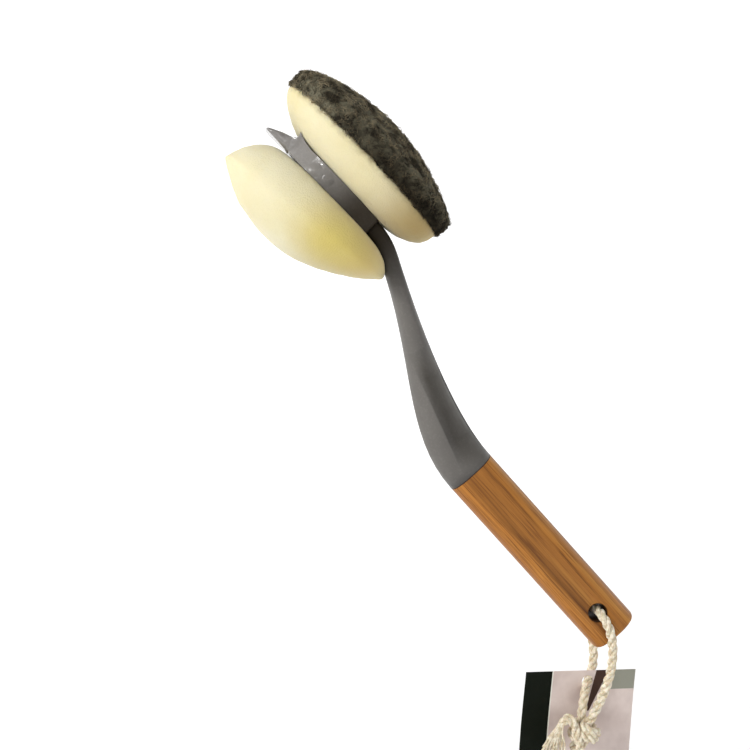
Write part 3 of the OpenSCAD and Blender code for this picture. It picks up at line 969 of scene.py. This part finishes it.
# Where the painted shadow between the cord's two runs lies on the card.
SHADOW_LEFT, SHADOW_RIGHT, SHADOW_FOOT = 0.635, 0.75, 0.78
card_finish, tree, shader, place = material("Printed_Card", Roughness=0.6,
                                            Specular_IOR_Level=0.14)
page = add(tree, "ShaderNodeUVMap", uv_map="UVMap")
split = add(tree, "ShaderNodeSeparateXYZ")
tree.links.new(page.outputs[0], split.inputs[0])
u, v = split.outputs[0], split.outputs[1]


def above(value, edge):
    """One where the value is more than the edge."""
    return sums(tree, "GREATER_THAN", value, edge)


def beneath(value, edge):
    """One where the value is less than the edge."""
    return sums(tree, "LESS_THAN", value, edge)


def both(a, b):
    """One where two masks are both one."""
    return sums(tree, "MULTIPLY", a, b)


def leaning(slope):
    """The place across the card, leaning more to the right the lower it is."""
    return sums(tree, "ADD", u, sums(tree, "MULTIPLY", sums(tree, "SUBTRACT", 1, v), slope))


# Painted shadow: a dark wedge between the cord's two runs.
cord_shadow = both(both(above(leaning(0.3), SHADOW_LEFT), beneath(leaning(0.7), SHADOW_RIGHT)),
             above(v, SHADOW_FOOT))
field = mix(tree, "MIX", rgb(222, 208, 202), rgb(198, 182, 176), mottled(tree, place, 0.09, 3.0))
for colour, mask in ((rgb(146, 146, 134), both(above(u, BOX_LEFT), above(v, BOX_FOOT))),
                     (rgb(66, 47, 38), cord_shadow),
                     (rgb(226, 224, 214), beneath(u, LINE_EDGE)),
                     (rgb(5, 12, 2), beneath(u, DARK_EDGE))):
    field = mix(tree, "MIX", field, colour, mask)
tree.links.new(field, shader.inputs["Base Color"])
bump(tree, shader, mottled(tree, place, 0.16, 5.0), 0.3, 0.25)
card_mesh.materials.append(card_finish)
print("printed card of", len(tree.nodes), "nodes")

# %% [markdown]
# ## Light and backdrop
# The photograph has a white ground without an edge. A flat sheet would show its border
# from the other sides, so the backdrop is one round bowl: a level floor that rises in a
# soft bend to a high wall. It glows a little, more behind the wand than before it, as a
# white backdrop does with a lamp of its own.

# %% Backdrop
FLOOR_Z, FLOOR_R, BEND_R, WALL_TOP, BEND_STEPS, ROUND_STEPS = -0.17, 3.0, 1.0, 5.0, 16, 64
bends = [i / BEND_STEPS * math.pi / 2 for i in range(1, BEND_STEPS + 1)]
profile = [(0.0, 0.0), (FLOOR_R / 2, 0.0), (FLOOR_R, 0.0)]
profile += [(FLOOR_R + math.sin(a) * BEND_R, BEND_R - math.cos(a) * BEND_R) for a in bends]
profile += [(FLOOR_R + BEND_R, WALL_TOP)]
sweep_form = bmesh.new()
line = [sweep_form.verts.new((0, r, z + FLOOR_Z)) for r, z in profile]
edges = [sweep_form.edges.new(pair) for pair in zip(line, line[1:])]
bmesh.ops.spin(sweep_form, geom=line + edges, cent=(0, 0, 0), axis=(0, 0, 1),
               angle=2 * math.pi, steps=ROUND_STEPS, use_merge=True)
bmesh.ops.remove_doubles(sweep_form, verts=sweep_form.verts, dist=1e-5)
bmesh.ops.recalc_face_normals(sweep_form, faces=sweep_form.faces)
sweep_mesh = bpy.data.meshes.new("sweep")
sweep_form.to_mesh(sweep_mesh)
sweep_form.free()
sweep = bpy.data.objects.new("sweep", sweep_mesh)
bpy.context.scene.collection.objects.link(sweep)
sweep_mesh.shade_smooth()
sweep_finish, tree, shader, place = material("Sweep", Roughness=0.9)
shader.inputs["Base Color"].default_value = (0.6, 0.6, 0.6, 1)
shader.inputs["Emission Color"].default_value = (1, 1, 1, 1)
behind = along(tree, place, Vector((0, 1, 0)), -1500, 1500)
glow = sums(tree, "ADD", sums(tree, "MULTIPLY", behind, 0.56), 0.16)
tree.links.new(glow, shader.inputs["Emission Strength"])
sweep_mesh.materials.append(sweep_finish)
print("a bowl of", len(sweep_mesh.polygons), "faces")

# %% [markdown]
# The shadows in the photograph are soft and fall to the lower right, so a big round lamp
# stands on the upper left as the key. A wide weak lamp on the right fills the shadows, one
# small lamp makes the glints on the drops, and a pale sky lights the rest.

# %% Lamps
def soft_light(name, place, size, power, colour=(1, 1, 1)):
    """A round lamp, that wide in metres and that strong in watts, aimed at the wand."""
    data = bpy.data.lights.new(name, "AREA")
    data.shape = "DISK"
    data.size = size
    data.energy = power
    data.color = colour
    light = bpy.data.objects.new(name, data)
    light.location = place
    light.rotation_euler = (aim - Vector(place)).to_track_quat("-Z", "Y").to_euler()
    bpy.context.scene.collection.objects.link(light)


soft_light("key", (-1.25, -0.75, 0.85), 0.5, 17, (1, 0.99, 0.965))
soft_light("fill", (0.4, -1.3, 0.3), 0.9, 1.2)
soft_light("glint", (-0.4, -1.12, 0.48), 0.06, 1.0)
world = bpy.data.worlds.new("Pale")
bpy.context.scene.world = world
world.use_nodes = True
world.node_tree.nodes["Background"].inputs[0].default_value = (1, 1, 1, 1)
world.node_tree.nodes["Background"].inputs[1].default_value = 0.2
bpy.context.scene.view_settings.view_transform = "Standard"
print("lamps", len(bpy.data.lights))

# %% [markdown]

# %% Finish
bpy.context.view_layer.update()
